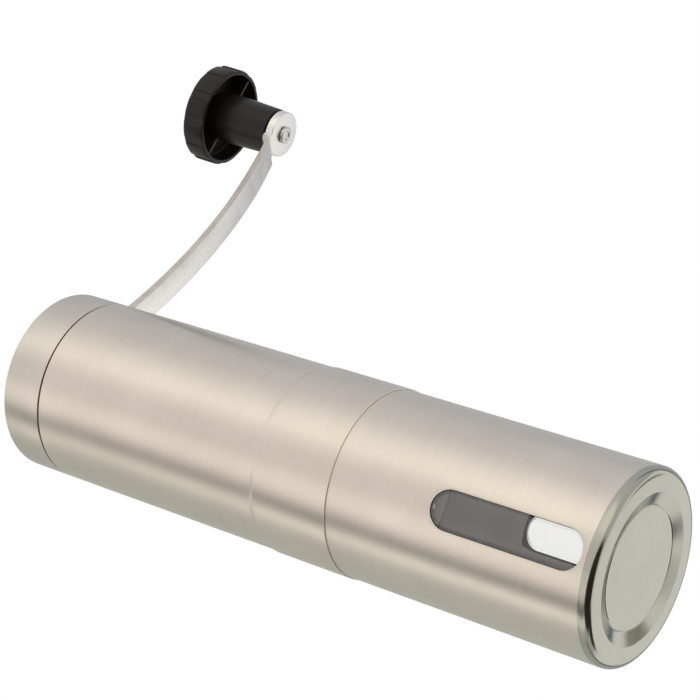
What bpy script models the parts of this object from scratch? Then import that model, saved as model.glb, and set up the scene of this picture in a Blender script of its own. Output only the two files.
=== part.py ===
"""Hand coffee mill: a slim steel grinder with a window in its grounds cup and a removable crank.

The mill stands upright on its cup.  The origin is on the grinding axis in the plane of the standing ring,
+Z runs up through the lid and +X points along the crank.  Every size below is in millimetres.
"""
import math

import bmesh
import bpy
from mathutils import Matrix

MM = 0.001                      # metres in one millimetre

# ---- clearances -------------------------------------------------------------------------------
GAP = 0.3                       # between pieces that touch
SLIP = 0.15                     # between the cup and the skirt that it plugs into
RUN = 0.15                      # between the shaft and a bush
LOOSE = 0.4                     # between the shaft and a loose piece round it
EMBED = 0.5                     # how far a rib or lug reaches into the piece it belongs to

# ---- steel body -------------------------------------------------------------------------------
TUBE_R = 24.2                   # outer radius of the hopper tube, the cup and the lid
WALL = 0.6                      # sheet thickness of tube, cup and lid
SKIRT_WALL = 0.45               # sheet thickness where the tube is stretched over the cup
SKIRT_BOTTOM = 73.2             # height of the skirt's lower edge, the seam above the cup
SKIRT_LENGTH = 22.4
SKIRT_TAPER = 1.0               # height over which the skirt narrows to the tube
TUBE_TOP = 168.45
LID_SEAM = 0.5                  # dark line between tube and lid
LID_HEIGHT = 12.55
LID_CORNER = 0.8
EDGE_BREAK = 0.12               # small chamfer on sheet edges
OVERSHOOT = 1.0                 # how far a cutter runs past what it cuts

CUP_R = TUBE_R
SKIRT_BORE = CUP_R + SLIP
SKIRT_R = SKIRT_BORE + SKIRT_WALL
TUBE_BORE = TUBE_R - WALL
SKIRT_TOP = SKIRT_BOTTOM + SKIRT_LENGTH
LID_BOTTOM = TUBE_TOP + LID_SEAM
LID_TOP = LID_BOTTOM + LID_HEIGHT

# ---- grounds cup ------------------------------------------------------------------------------
CUP_CORNER = 2.3                # rounding between the cup's wall and its base
RING_OUTER = CUP_R - CUP_CORNER
RING_WIDTH = 3.4                # flat width of the standing ring
RECESS_SLOPE = 3.2              # width of the slope up into the recess
RING_INNER = RING_OUTER - RING_WIDTH
RECESS_R = RING_INNER - RECESS_SLOPE   # flat disc in the middle of the base
RECESS_DEPTH = 1.1
RECESS_BREAK = 0.4              # soft edge between the standing ring and the recess slope
CUP_TOP = SKIRT_TOP - GAP
WINDOW_AZIMUTH = math.radians(-134.6)
WINDOW_BOTTOM = 3.9
WINDOW_TOP = 44.5
WINDOW_WIDTH = 9.7

SLEEVE_WALL = 1.0
SLEEVE_BORE = CUP_R - WALL - GAP - SLEEVE_WALL
SLEEVE_LIFT = 0.2               # between the cup's floor and the sleeve
SLEEVE_BOTTOM = RECESS_DEPTH + WALL + SLEEVE_LIFT
SLEEVE_DROP = 5.2               # how far the sleeve ends below the skirt
SLEEVE_TOP = SKIRT_BOTTOM - SLEEVE_DROP

# ---- grinding head: levels, from the carrier's flange down -------------------------------------
CARRIER_REST = 1.0              # between the skirt's taper and the carrier's flange
CARRIER_FLANGE_BOTTOM = SKIRT_TOP + SKIRT_TAPER + CARRIER_REST
CARRIER_FLANGE_HEIGHT = 8.0
CARRIER_TOP = CARRIER_FLANGE_BOTTOM + CARRIER_FLANGE_HEIGHT
HUB_BOTTOM = CARRIER_FLANGE_BOTTOM - 0.2
HUB_TOP = CARRIER_TOP - 0.6
COLLAR_DEPTH = 17.4             # how far the collar reaches below the flange
COLLAR_BOTTOM = CARRIER_FLANGE_BOTTOM - COLLAR_DEPTH
BURR_LIFT = 0.4                 # the fixed burr's lower edge above the collar's
BURR_BOTTOM = COLLAR_BOTTOM + BURR_LIFT
BURR_SINK = 1.3                 # the fixed burr's upper edge below the flange
BURR_TOP = CARRIER_FLANGE_BOTTOM - BURR_SINK
CONE_SINK = 0.4                 # the cone's lower edge below the fixed burr's
CONE_BOTTOM = BURR_BOTTOM - CONE_SINK
CONE_DROP = 3.9                 # between the carrier's hub and the cone
CONE_TOP = HUB_BOTTOM - CONE_DROP

# ---- drive shaft ------------------------------------------------------------------------------
SHAFT_R = 3.5
SHAFT_TAIL = 13.7               # how far the shaft reaches below the collar
SHAFT_BOTTOM = COLLAR_BOTTOM - SHAFT_TAIL
HEX_SETBACK = 0.7               # each flat of the head stands this far inside the shaft's side
HEX_FLATS = 2 * (SHAFT_R - HEX_SETBACK)
HEX_HEIGHT = 8.6
SHAFT_FLAT_DEPTH = 1.2
FLAT_HALF = SHAFT_R - SHAFT_FLAT_DEPTH   # from the axis to each flat at the lower end
THREAD_DROP = 1.7               # how far the thread ends below the collar
THREAD_TOP = COLLAR_BOTTOM - THREAD_DROP
THREAD_START = 1.0              # plain tip below the thread
THREAD_PITCH = 1.0
THREAD_DEPTH = 0.45
BORE_R = SHAFT_R + RUN          # bush bore
PASS_R = SHAFT_R + LOOSE        # bore of loose pieces round the shaft

# ---- shaft supports ---------------------------------------------------------------------------
SUPPORT_R = TUBE_BORE - GAP
BUSH_WALL = 1.5
BUSH_R = SHAFT_R + BUSH_WALL
HUB_WALL = 1.3
HUB_R = BUSH_R + GAP + HUB_WALL
BUSH_FLANGE = 1.0
SPOKES = 3
SPOKE_WIDTH = 3.0
UPPER_RING_DEPTH = 18.45        # from the tube's top edge down to the ring's lower face
UPPER_RING_BOTTOM = TUBE_TOP - UPPER_RING_DEPTH
UPPER_RING_HEIGHT = 7.0
UPPER_RING_WALL = 2.0
UPPER_HUB_PROUD = 1.0           # how far the hub stands below the ring

# ---- bayonet ring, collar and burrs, from the cup's bore inward ---------------------------------
RETAINER_ROOM = 1.3             # between the cup's bore and the retaining ring
RETAINER_WALL = 1.0
LUG_REACH = 1.0                 # how far a lug stands out of the collar
COLLAR_WALL = 2.3
RETAINER_R = CUP_R - WALL - RETAINER_ROOM
RETAINER_BORE = RETAINER_R - RETAINER_WALL
LUG_R = RETAINER_BORE - GAP
COLLAR_R = LUG_R - LUG_REACH
BURR_R = COLLAR_R - COLLAR_WALL - GAP   # outer radius of the fixed burr
LUGS = 3
LUG_ANGLE = math.radians(24)
LUG_LIFT = 1.8                  # the lugs above the collar's lower edge
LUG_BOTTOM = COLLAR_BOTTOM + LUG_LIFT
LUG_HEIGHT = 2.1
RETAINER_FLOOR = 2.4
TAB_HEIGHT = 1.8
LEDGE_WIDTH = 2.0               # rim that the fixed burr seats under
LEDGE_R = BURR_R - LEDGE_WIDTH
KEY_WIDTH = 3.0
KEY_DEPTH = 0.5
KEY_LIFT = 2.0                  # the keys above the fixed burr's lower edge
OUTER_TEETH = 24
MOUTH_WALL = 4.2                # fixed burr, wall at the top
EXIT_WALL = 1.1                 # fixed burr, wall at the bottom
OUTER_MOUTH_R = BURR_R - MOUTH_WALL
OUTER_EXIT_R = BURR_R - EXIT_WALL
GRIND_GAP = 1.0                 # between the two burrs' tooth roots at the bottom
CONE_EXIT_R = OUTER_EXIT_R - GRIND_GAP
CONE_LOBES = 8

# ---- spring, washers, clip, driver, nut -------------------------------------------------------
WASHER_THICK = 0.6
WASHER_WIDTH = 1.7
WASHER_R = PASS_R + WASHER_WIDTH
SPRING_WIRE = 0.8
SPRING_PLAY = 0.75              # between the shaft and the spring
SPRING_COIL_R = SHAFT_R + SPRING_PLAY + SPRING_WIRE / 2
SPRING_TURNS = 3.5
SPRING_ROOM = 0.85              # between the spring and its pocket
SPRING_POCKET_R = SPRING_COIL_R + SPRING_WIRE / 2 + SPRING_ROOM
SPRING_POCKET_DEPTH = 4.0
CONE_TOP_WALL = 1.8
CONE_TOP_R = SPRING_POCKET_R + CONE_TOP_WALL
CLIP_THICK = 0.8
CLIP_WIDTH = 2.5
CLIP_PLAY = 0.2
CLIP_GROOVE_DEPTH = 0.6
CLIP_GROOVE_R = SHAFT_R - CLIP_GROOVE_DEPTH
CLIP_MOUTH = math.radians(70)
DRIVER_BOSS_WALL = 4.4
DRIVER_BOSS_R = SHAFT_R + GAP + DRIVER_BOSS_WALL
DRIVER_PLAY = 0.4               # between the driver's boss and its pocket in the cone
DRIVER_POCKET_R = DRIVER_BOSS_R + DRIVER_PLAY
DRIVER_POCKET_DEPTH = 2.0
DRIVER_LIP = 1.4
DRIVER_R = DRIVER_POCKET_R + DRIVER_LIP
DRIVER_FLANGE = 2.3
NUT_STEP = 0.8                  # the nut's mean radius inside the driver's
NUT_R = DRIVER_R - NUT_STEP
NUT_LOBES = 8
NUT_LOBE_DEPTH = 0.7
NUT_HEIGHT = 7.0
NUT_DISC = 3.2                  # thickness of the nut's lobed part
NUT_HUB_WALL = 2.6
NUT_HUB_R = SHAFT_R + GAP + NUT_HUB_WALL

# ---- lid plug ---------------------------------------------------------------------------------
PLUG_WALL = 1.6
PLUG_PLAY = 0.4                 # between the plug and the tube's bore
PLUG_DEPTH = 8.6                # how far the plug reaches into the tube
PLUG_WEB = 1.6
LID_HOLE_PLAY = 0.9             # between the shaft and the hole in the lid
LID_HOLE_R = SHAFT_R + LID_HOLE_PLAY
PLUG_HUB_WALL = 2.4
PLUG_HUB_R = LID_HOLE_R + PLUG_HUB_WALL
PLUG_HUB_DEPTH = 5.5

# ---- crank ------------------------------------------------------------------------------------
CRANK_REACH = 127.6             # from the mill's axis to the middle of the boss's underside
CRANK_LIFT_OFF = 0.5            # between the lid and the crank
CRANK_RISE = 21.0               # height of the boss's underside above the crank's base
CRANK_HUB_R = 8.0
CRANK_HUB_HEIGHT = 6.5
CRANK_BOSS_R = 7.15
CRANK_BOSS_HEIGHT = 2.6
BOSS_LEAN = math.radians(6.8)   # the arm's end is twisted, so the knob leans towards -Y
BOSS_DIP = math.radians(2.2)    # and it leans a little towards the mill
ARM_LEVEL = 6.2                 # how far past the lid's edge the arm runs level before it curves
CRANK_FLAT_TO = TUBE_R + ARM_LEVEL
ARM_INSET = 3.3                 # the arm ends this far short of the boss's middle
ARM_SINK = 0.05                 # the arm's underside below the boss's where it ends
ARM_WIDTH = (6.8, 7.6)          # at the hub, at the boss
ARM_THICK = (3.5, 2.2, 2.5)     # at the hub, half way, at the boss
ARM_EDGE = 0.5                  # chamfer along the arm's edges
ARM_STEPS = 22
TWIST_LENGTH = 24.0             # the last part of the arm, which takes up the boss's lean
HEX_CLEARANCE = 0.2

# ---- knob, measured along its own axis from the boss's underside --------------------------------
KNOB_LIFT = 0.5                 # between the boss and the sleeve
KNOB_SLEEVE_LENGTH = 17.7       # from the sleeve's lower end to the cap's open rim
KNOB_SLEEVE_R = (7.3, 7.9)      # at the lower end, at the cap's rim
KNOB_NECK_STEP = 0.9            # the sleeve is this much slimmer inside the cap
KNOB_CAP_R = 15.1
KNOB_CAP_HEIGHT = 7.7
KNOB_RIM_WALL = 1.2
KNOB_CAVITY_DEPTH = 5.4
KNOB_RIBS = 2
KNOB_RIB_THICK = 0.8
KNOB_RIB_AZIMUTH = math.radians(151.5)
KNOB_RIB_SINK = 0.6             # the ribs' edges below the cap's rim
GRIP_PADS = 12
GRIP_PAD_ANGLE = math.radians(20)
GRIP_PAD_HEIGHT = 0.35
RIVET_R = 2.0
RIVET_HEAD_R = RIVET_R + 0.7
RIVET_HEAD_HEIGHT = 0.9
RIVET_TOP_HEAD_R = RIVET_R + 1.4
COUNTERBORE_R = RIVET_TOP_HEAD_R + 0.8
COUNTERBORE_DEPTH = 2.3
KNOB_WASHER_WIDTH = 2.9
KNOB_WASHER_R = RIVET_R + GAP + KNOB_WASHER_WIDTH
PLATE_RIM = 2.7                 # the cap's rim round the plate
PLATE_R = KNOB_CAP_R - PLATE_RIM   # disc that closes the knob
PLATE_THICK = 1.2

# ---- facets -----------------------------------------------------------------------------------
SIDES = 64                      # round the steel body
ROUND = 48                      # round the plastic rings and the burrs
FINE = 36                       # round small pieces
SHAFT_SIDES = 24
SHARP = math.radians(35)

# name: (base colour, metallic, roughness)
FINISHES = {
    "brushed_steel": ((0.62, 0.58, 0.53, 1), 1.0, 0.32),
    "bright_steel": ((0.70, 0.70, 0.70, 1), 1.0, 0.25),
    "cast_aluminium": ((0.74, 0.73, 0.72, 1), 1.0, 0.45),
    "black_plastic": ((0.030, 0.026, 0.024, 1), 0.0, 0.42),
    "smoke_plastic": ((0.10, 0.10, 0.10, 1), 0.0, 0.40),
    "white_plastic": ((0.80, 0.79, 0.76, 1), 0.0, 0.45),
    "clear_plastic": ((0.80, 0.80, 0.79, 1), 0.0, 0.12),
    "white_ceramic": ((0.86, 0.85, 0.82, 1), 0.0, 0.35),
}


# ---- modelling helpers ------------------------------------------------------------------------
def clear_scene():
    for item in list(bpy.data.objects):
        bpy.data.objects.remove(item, do_unlink=True)


def new_material(name):
    colour, metallic, roughness = FINISHES[name]
    material = bpy.data.materials.new(name)
    material.use_nodes = True
    shader = material.node_tree.nodes["Principled BSDF"]
    shader.inputs["Base Color"].default_value = colour
    shader.inputs["Metallic"].default_value = metallic
    shader.inputs["Roughness"].default_value = roughness
    material.diffuse_color = colour
    return material


def place(name, data, finish=None):
    """An object in the scene; one with no finish is a guide for a boolean and is left out of the model."""
    item = bpy.data.objects.new(name, data)
    bpy.context.scene.collection.objects.link(item)
    if finish is None:
        item.hide_render = True
        item.display_type = "WIRE"
    else:
        material = new_material(finish)
        material.name = f"{name}_{finish}"
        data.materials.append(material)
    return item


def to_object(bm, name, finish):
    bmesh.ops.recalc_face_normals(bm, faces=bm.faces)
    mesh = bpy.data.meshes.new(name)
    bm.to_mesh(mesh)
    bm.free()
    mesh.shade_smooth()
    mesh.set_sharp_from_angle(angle=SHARP)
    return place(name, mesh, finish)


def lathe(name, outline, finish=None, sides=FINE):
    """Turns an outline of (radius, height) points round Z, which closes up or starts and ends on the axis."""
    bm = bmesh.new()
    verts = [bm.verts.new((r * MM, 0, z * MM)) for r, z in outline]
    pairs = list(zip(verts, verts[1:]))
    if outline[0][0] > 0 or outline[-1][0] > 0:
        pairs.append((verts[-1], verts[0]))
    edges = [bm.edges.new(pair) for pair in pairs]
    bmesh.ops.spin(bm, geom=verts + edges, cent=(0, 0, 0), axis=(0, 0, 1), angle=math.tau, steps=sides,
                   use_merge=True)
    bmesh.ops.remove_doubles(bm, verts=bm.verts, dist=1e-3 * MM)
    return to_object(bm, name, finish)


def prism(name, points, low, high, finish=None):
    """Extrudes a polygon of (x, y) points from one height to another."""
    bm = bmesh.new()
    face = bm.faces.new([bm.verts.new((x * MM, y * MM, low * MM)) for x, y in points])
    extruded = bmesh.ops.extrude_face_region(bm, geom=[face])["geom"]
    lifted = [item for item in extruded if isinstance(item, bmesh.types.BMVert)]
    bmesh.ops.translate(bm, verts=lifted, vec=(0, 0, (high - low) * MM))
    return to_object(bm, name, finish)


def box(name, x_range, y_half, z_range, azimuth=0.0):
    """A block along X, turned about Z; used as a guide."""
    (x0, x1), (z0, z1) = x_range, z_range
    item = prism(name, [(x0, -y_half), (x1, -y_half), (x1, y_half), (x0, y_half)], z0, z1)
    item.data.transform(Matrix.Rotation(azimuth, 4, "Z"))
    return item


def sector(name, r_range, z_range, start, angle, finish=None, steps=6):
    """Part of a flat ring."""
    (r0, r1), (z0, z1) = r_range, z_range
    turns = [start + angle * i / steps for i in range(steps + 1)]
    outer = [(r1 * math.cos(t), r1 * math.sin(t)) for t in turns]
    inner = [(r0 * math.cos(t), r0 * math.sin(t)) for t in reversed(turns)]
    return prism(name, outer + inner, z0, z1, finish)


def combine(item, guide, operation):
    modifier = item.modifiers.new(f"{operation.lower()}_{guide.name}"[:60], "BOOLEAN")
    modifier.operation = operation
    modifier.solver = "EXACT"
    modifier.object = guide


def join(item, *guides):
    for guide in guides:
        combine(item, guide, "UNION")


def cut(item, *guides):
    for guide in guides:
        combine(item, guide, "DIFFERENCE")


def arc(centre, radius, start, end, steps):
    """Points of an arc, in degrees, for an outline."""
    turns = [math.radians(start + (end - start) * i / steps) for i in range(steps + 1)]
    return [(centre[0] + radius * math.cos(t), centre[1] + radius * math.sin(t)) for t in turns]


def evenly(count, first=0.0):
    return [first + math.tau * i / count for i in range(count)]


def ring(name, r_range, z_range, finish=None, sides=FINE):
    (r0, r1), (z0, z1) = r_range, z_range
    return lathe(name, [(r0, z0), (r1, z0), (r1, z1), (r0, z1)], finish, sides)


def rod(name, radius, low, high):
    """A plain cylinder; used as a guide."""
    return lathe(name, [(0, low), (radius, low), (radius, high), (0, high)])


def toothed_shell(name, rows, radius_at, closing, finish):
    """A solid of revolution whose rows of points follow radius_at(row, angle), closed by plain rings."""
    bm = bmesh.new()
    turns = evenly(ROUND)
    loops = []
    for height in rows:
        loops.append([bm.verts.new((radius_at(height, t) * math.cos(t) * MM, radius_at(height, t) * math.sin(t) * MM,
                                    height * MM)) for t in turns])
    for radius, height in closing:
        loops.append([bm.verts.new((radius * math.cos(t) * MM, radius * math.sin(t) * MM, height * MM))
                      for t in turns])
    for lower, upper in zip(loops, loops[1:] + loops[:1]):
        for i in range(ROUND):
            j = (i + 1) % ROUND
            bm.faces.new((lower[i], lower[j], upper[j], upper[i]))
    return to_object(bm, name, finish)


# ---- steel shells -----------------------------------------------------------------------------
def hopper_tube():
    lathe("hopper_tube", [
        (SKIRT_BORE, SKIRT_BOTTOM), (SKIRT_R - EDGE_BREAK, SKIRT_BOTTOM), (SKIRT_R, SKIRT_BOTTOM + EDGE_BREAK),
        (SKIRT_R, SKIRT_TOP), (TUBE_R, SKIRT_TOP + SKIRT_TAPER),
        (TUBE_R, TUBE_TOP - EDGE_BREAK), (TUBE_R - EDGE_BREAK, TUBE_TOP), (TUBE_BORE, TUBE_TOP),
        (TUBE_BORE, SKIRT_TOP + SKIRT_TAPER), (SKIRT_BORE, SKIRT_TOP),
    ], "brushed_steel", SIDES)


def grounds_cup():
    floor = RECESS_DEPTH + WALL
    inner_corner = CUP_CORNER - WALL
    centre = (RING_OUTER, CUP_CORNER)
    slope = RECESS_DEPTH / (RING_INNER - RECESS_R)
    cup = lathe("grounds_cup", [
        (0, RECESS_DEPTH), (RECESS_R, RECESS_DEPTH),
        (RING_INNER - RECESS_BREAK, slope * RECESS_BREAK), (RING_INNER + RECESS_BREAK, 0),
        *arc(centre, CUP_CORNER, -90, 0, 4),
        (CUP_R, CUP_TOP), (CUP_R - WALL, CUP_TOP),
        *arc(centre, inner_corner, 0, -90, 2),
        (RING_INNER, WALL), (RECESS_R, floor), (0, floor),
    ], "brushed_steel", SIDES)
    half = WINDOW_WIDTH / 2
    low, high = WINDOW_BOTTOM + half, WINDOW_TOP - half
    outline = arc((low, 0), half, 90, 270, 8) + arc((high, 0), half, -90, 90, 8)
    slot = prism("window_cutter", outline, -2 * CUP_R, 2 * CUP_R)
    slot.data.transform(Matrix.Rotation(WINDOW_AZIMUTH, 4, "Z") @ Matrix.Rotation(-math.pi / 2, 4, "Y"))
    cut(cup, slot)


def window_sleeve():
    ring("window_sleeve", (SLEEVE_BORE, SLEEVE_BORE + SLEEVE_WALL), (SLEEVE_BOTTOM, SLEEVE_TOP),
         "clear_plastic", ROUND)


def lid_shell():
    inner = LID_CORNER - EDGE_BREAK
    lathe("lid_shell", [
        (TUBE_BORE, LID_BOTTOM), (TUBE_R - EDGE_BREAK, LID_BOTTOM), (TUBE_R, LID_BOTTOM + EDGE_BREAK),
        *arc((TUBE_R - LID_CORNER, LID_TOP - LID_CORNER), LID_CORNER, 0, 90, 3),
        (LID_HOLE_R, LID_TOP), (LID_HOLE_R, LID_TOP - WALL),
        (TUBE_BORE - inner, LID_TOP - WALL), (TUBE_BORE, LID_TOP - WALL - inner),
    ], "brushed_steel", SIDES)


def lid_plug():
    outer = TUBE_BORE - PLUG_PLAY
    top = LID_TOP - WALL - GAP
    bottom = TUBE_TOP - PLUG_DEPTH
    lathe("lid_plug", [
        (outer - PLUG_WALL, bottom), (outer - 0.3, bottom), (outer, bottom + 0.5),
        (outer, top - LID_CORNER), (outer - LID_CORNER, top), (LID_HOLE_R, top), (LID_HOLE_R, top - PLUG_HUB_DEPTH),
        (PLUG_HUB_R, top - PLUG_HUB_DEPTH), (PLUG_HUB_R, top - PLUG_WEB), (outer - PLUG_WALL, top - PLUG_WEB),
    ], "smoke_plastic", ROUND)


# ---- shaft supports ---------------------------------------------------------------------------
def add_spider(item, name, hub_range, spoke_range, reach):
    """Joins a hub, bored for its bush, and its spokes to a ring."""
    join(item, ring(f"{name}_hub", (BUSH_R + GAP, HUB_R), hub_range))
    for i, azimuth in enumerate(evenly(SPOKES, math.pi)):
        join(item, box(f"{name}_spoke_{i}", (HUB_R - EMBED, reach), SPOKE_WIDTH / 2, spoke_range, azimuth))


def bush(name, hub_bottom, hub_top):
    lathe(name, [
        (BORE_R, hub_bottom), (BUSH_R, hub_bottom), (BUSH_R, hub_top + GAP), (HUB_R - GAP, hub_top + GAP),
        (HUB_R - GAP, hub_top + GAP + BUSH_FLANGE), (BORE_R, hub_top + GAP + BUSH_FLANGE),
    ], "white_plastic")


def upper_bracket():
    top = UPPER_RING_BOTTOM + UPPER_RING_HEIGHT
    hub_bottom = UPPER_RING_BOTTOM - UPPER_HUB_PROUD
    item = ring("upper_bracket", (SUPPORT_R - UPPER_RING_WALL, SUPPORT_R), (UPPER_RING_BOTTOM, top),
                "smoke_plastic", ROUND)
    add_spider(item, "upper", (hub_bottom, top), (UPPER_RING_BOTTOM + 1, top - 1),
               SUPPORT_R - UPPER_RING_WALL + EMBED)
    bush("upper_bush", hub_bottom, top)


def burr_carrier():
    bore = BURR_R + GAP
    ledge = BURR_TOP + GAP
    item = lathe("burr_carrier", [
        (bore, COLLAR_BOTTOM), (COLLAR_R, COLLAR_BOTTOM), (COLLAR_R, CARRIER_FLANGE_BOTTOM),
        (SUPPORT_R, CARRIER_FLANGE_BOTTOM), (SUPPORT_R, CARRIER_TOP), (SUPPORT_R - 1.0, CARRIER_TOP),
        (LEDGE_R + 1.2, ledge + 2.4), (LEDGE_R, ledge + 1.6), (LEDGE_R, ledge), (bore, ledge),
    ], "smoke_plastic", ROUND)
    add_spider(item, "carrier", (HUB_BOTTOM, HUB_TOP), (HUB_BOTTOM + 1.2, HUB_TOP - 0.8), SUPPORT_R - 1.3)
    for i, azimuth in enumerate(evenly(LUGS)):
        join(item, sector(f"carrier_lug_{i}", (COLLAR_R - EMBED, LUG_R), (LUG_BOTTOM, LUG_BOTTOM + LUG_HEIGHT),
                          azimuth - LUG_ANGLE / 2, LUG_ANGLE))
        join(item, box(f"carrier_key_{i}", (bore - GAP - KEY_DEPTH, bore + EMBED), KEY_WIDTH / 2,
                       (BURR_BOTTOM + KEY_LIFT, ledge + EMBED), azimuth))
    bush("lower_bush", HUB_BOTTOM, HUB_TOP)


def retaining_ring():
    floor_top = COLLAR_BOTTOM - GAP
    floor_bottom = floor_top - RETAINER_FLOOR
    tab_bottom = LUG_BOTTOM + LUG_HEIGHT + GAP
    tab_top = tab_bottom + TAB_HEIGHT
    item = lathe("retaining_ring", [
        (OUTER_EXIT_R, floor_bottom), (RETAINER_R - 0.6, floor_bottom), (RETAINER_R, floor_bottom + 0.6),
        (RETAINER_R, tab_top), (RETAINER_BORE, tab_top), (RETAINER_BORE, floor_top), (OUTER_EXIT_R, floor_top),
    ], "smoke_plastic", ROUND)
    for i, azimuth in enumerate(evenly(LUGS)):
        join(item, sector(f"retainer_tab_{i}", (COLLAR_R + GAP, RETAINER_BORE + EMBED), (tab_bottom, tab_top),
                          azimuth - LUG_ANGLE / 2, LUG_ANGLE))


# ---- burrs ------------------------------------------------------------------------------------
def saw(angle, teeth):
    """0 to 1, rising across each tooth."""
    return (angle * teeth / math.tau) % 1.0


def outer_burr():
    def radius_at(height, turn):
        share = (BURR_TOP - height) / (BURR_TOP - BURR_BOTTOM)
        plain = OUTER_MOUTH_R + (OUTER_EXIT_R - OUTER_MOUTH_R) * share
        depth = 0.9 - 0.55 * share
        return plain - depth * saw(turn + 0.5 * share, OUTER_TEETH)

    rows = [BURR_BOTTOM + (BURR_TOP - BURR_BOTTOM) * i / 5 for i in range(6)]
    item = toothed_shell("outer_burr", rows, radius_at, [(BURR_R, BURR_TOP), (BURR_R, BURR_BOTTOM)],
                         "white_ceramic")
    for i, azimuth in enumerate(evenly(LUGS)):
        cut(item, box(f"burr_notch_{i}", (BURR_R - KEY_DEPTH - GAP, BURR_R + 1), KEY_WIDTH / 2 + GAP,
                      (BURR_BOTTOM - 1, BURR_TOP + 1), azimuth))


def inner_burr():
    height_of = CONE_TOP - CONE_BOTTOM

    def radius_at(height, turn):
        share = (CONE_TOP - height) / height_of
        plain = CONE_TOP_R + (CONE_EXIT_R - CONE_TOP_R) * share ** 0.85
        lobe = 1.5 * math.sin(math.pi * min(1.0, share * 1.1)) * saw(turn - 1.2 * share, CONE_LOBES)
        tooth = 0.35 * share * saw(turn, OUTER_TEETH)
        return plain - lobe - tooth

    rows = [CONE_BOTTOM + height_of * i / 6 for i in range(7)]
    pocket_floor = CONE_TOP - SPRING_POCKET_DEPTH
    driver_top = CONE_BOTTOM + DRIVER_POCKET_DEPTH
    toothed_shell("inner_burr", rows, radius_at, [
        (SPRING_POCKET_R, CONE_TOP), (SPRING_POCKET_R, pocket_floor), (PASS_R, pocket_floor),
        (PASS_R, driver_top), (DRIVER_POCKET_R, driver_top), (DRIVER_POCKET_R, CONE_BOTTOM),
    ], "white_ceramic")


# ---- shaft and what turns with it -------------------------------------------------------------
def hexagon(flats):
    corner = flats / math.sqrt(3)
    return [(corner * math.cos(t), corner * math.sin(t)) for t in evenly(6)]


def double_d(radius, flat):
    """A circle cut by two flats, facing +Y and -Y."""
    limit = math.asin(flat / radius)
    right = [-limit + 2 * limit * i / 6 for i in range(7)]
    points = [(radius * math.cos(t), radius * math.sin(t)) for t in right]
    return points + [(-x, -y) for x, y in points]


def clip_levels():
    washer_bottom = HUB_TOP + GAP + BUSH_FLANGE + GAP
    clip_bottom = washer_bottom + WASHER_THICK + GAP
    return washer_bottom, clip_bottom


def drive_shaft():
    clip_bottom = clip_levels()[1]
    shoulder = LID_TOP + CRANK_LIFT_OFF - GAP
    turns = int((THREAD_TOP - SHAFT_BOTTOM - THREAD_START) / THREAD_PITCH)
    thread = []
    for i in range(turns):
        start = SHAFT_BOTTOM + THREAD_START + i * THREAD_PITCH
        thread += [(SHAFT_R, start), (SHAFT_R - THREAD_DEPTH, start + THREAD_PITCH / 2)]
    item = lathe("drive_shaft", [
        (0, SHAFT_BOTTOM), (SHAFT_R - 0.6, SHAFT_BOTTOM), *thread, (SHAFT_R, THREAD_TOP),
        (SHAFT_R, clip_bottom - CLIP_PLAY), (CLIP_GROOVE_R, clip_bottom - CLIP_PLAY),
        (CLIP_GROOVE_R, clip_bottom + CLIP_THICK + CLIP_PLAY), (SHAFT_R, clip_bottom + CLIP_THICK + CLIP_PLAY),
        (SHAFT_R, shoulder), (0, shoulder),
    ], "bright_steel", SHAFT_SIDES)
    join(item, prism("shaft_hex", hexagon(HEX_FLATS), shoulder - 1, shoulder + GAP + HEX_HEIGHT))
    flats_top = CONE_BOTTOM + DRIVER_POCKET_DEPTH + 1.5
    for side in (-1, 1):
        flat = box(f"shaft_flat_{side + 1}", (FLAT_HALF, 2 * SHAFT_R), 2 * SHAFT_R,
                   (SHAFT_BOTTOM - 1, flats_top), side * math.pi / 2)
        cut(item, flat)


def washers_and_clip():
    spring_top = HUB_BOTTOM - GAP - WASHER_THICK
    ring("spring_washer", (PASS_R, WASHER_R), (spring_top, spring_top + WASHER_THICK), "bright_steel")
    washer_bottom, clip_bottom = clip_levels()
    ring("thrust_washer", (PASS_R, WASHER_R), (washer_bottom, washer_bottom + WASHER_THICK), "bright_steel")
    clip_bore = CLIP_GROOVE_R + CLIP_PLAY
    sector("shaft_clip", (clip_bore, clip_bore + CLIP_WIDTH), (clip_bottom, clip_bottom + CLIP_THICK),
           CLIP_MOUTH / 2, math.tau - CLIP_MOUTH, "bright_steel", 24)


def burr_spring():
    spring_top = HUB_BOTTOM - 2 * GAP - WASHER_THICK
    spring_bottom = CONE_TOP - SPRING_POCKET_DEPTH + GAP
    low = spring_bottom + SPRING_WIRE / 2
    climb = spring_top - SPRING_WIRE / 2 - low
    steps = int(SPRING_TURNS * 12)
    curve = bpy.data.curves.new("burr_spring", "CURVE")
    curve.dimensions = "3D"
    curve.bevel_depth = SPRING_WIRE / 2 * MM
    curve.bevel_resolution = 1
    curve.use_fill_caps = True
    spline = curve.splines.new("POLY")
    spline.points.add(steps)
    for i, point in enumerate(spline.points):
        turn = math.tau * SPRING_TURNS * i / steps
        point.co = (SPRING_COIL_R * math.cos(turn) * MM, SPRING_COIL_R * math.sin(turn) * MM,
                    (low + climb * i / steps) * MM, 1)
    place("burr_spring", curve, "bright_steel")


def burr_driver():
    bottom = CONE_BOTTOM - GAP - DRIVER_FLANGE
    item = lathe("burr_driver", [
        (0, bottom), (DRIVER_R, bottom), (DRIVER_R, CONE_BOTTOM - GAP), (DRIVER_BOSS_R, CONE_BOTTOM - GAP),
        (DRIVER_BOSS_R, CONE_BOTTOM + DRIVER_POCKET_DEPTH - GAP),
        (0, CONE_BOTTOM + DRIVER_POCKET_DEPTH - GAP),
    ], "white_plastic")
    cut(item, prism("driver_bore", double_d(SHAFT_R + GAP, FLAT_HALF + GAP), bottom - 1, CONE_BOTTOM + 5))


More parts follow.
